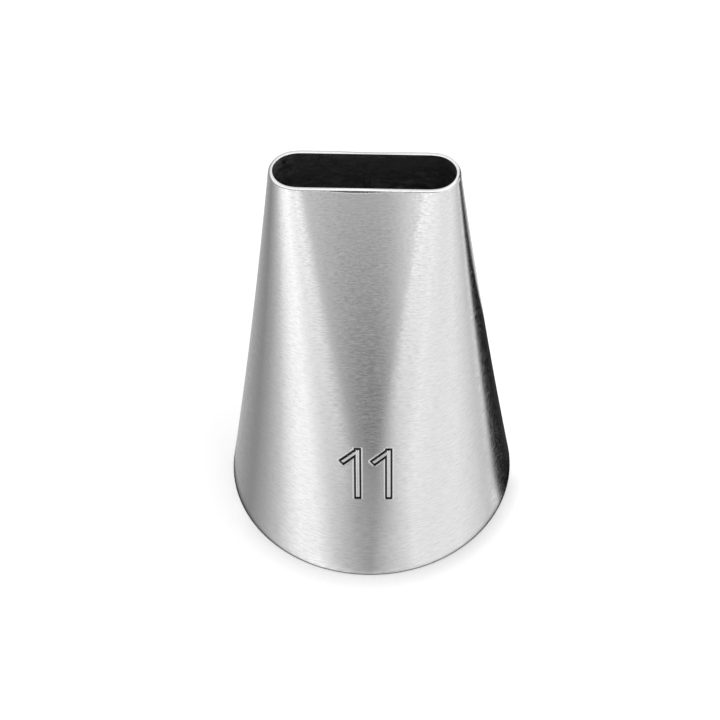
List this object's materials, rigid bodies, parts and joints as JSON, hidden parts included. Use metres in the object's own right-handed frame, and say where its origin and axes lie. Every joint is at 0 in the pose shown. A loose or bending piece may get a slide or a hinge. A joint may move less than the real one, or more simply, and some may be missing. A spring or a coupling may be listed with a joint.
{
  "type": "piping nozzle",
  "caption": "Flat-mouth piping nozzle: a round base narrows to a wide slot mouth, for piping smooth ribbons and basket weave from a pastry bag.",
  "frame": {"origin": "centre of the round base, in the plane that it stands on", "axes": "+Z from the base to the mouth, X along the wide mouth, -Y is the front, opposite the weld"},
  "size_m": [0.018, 0.018, 0.027],
  "materials": {
    "sheet_steel": "fine level brushing round the outside, dull inside, bright edge at the mouth",
    "weld_steel": "weld ground flush outside, left as a low root inside"
  },
  "bodies": {
    "root": {"nozzle_shell": "sheet_steel", "seam_weld": "weld_steel"}
  },
  "joints": []
}
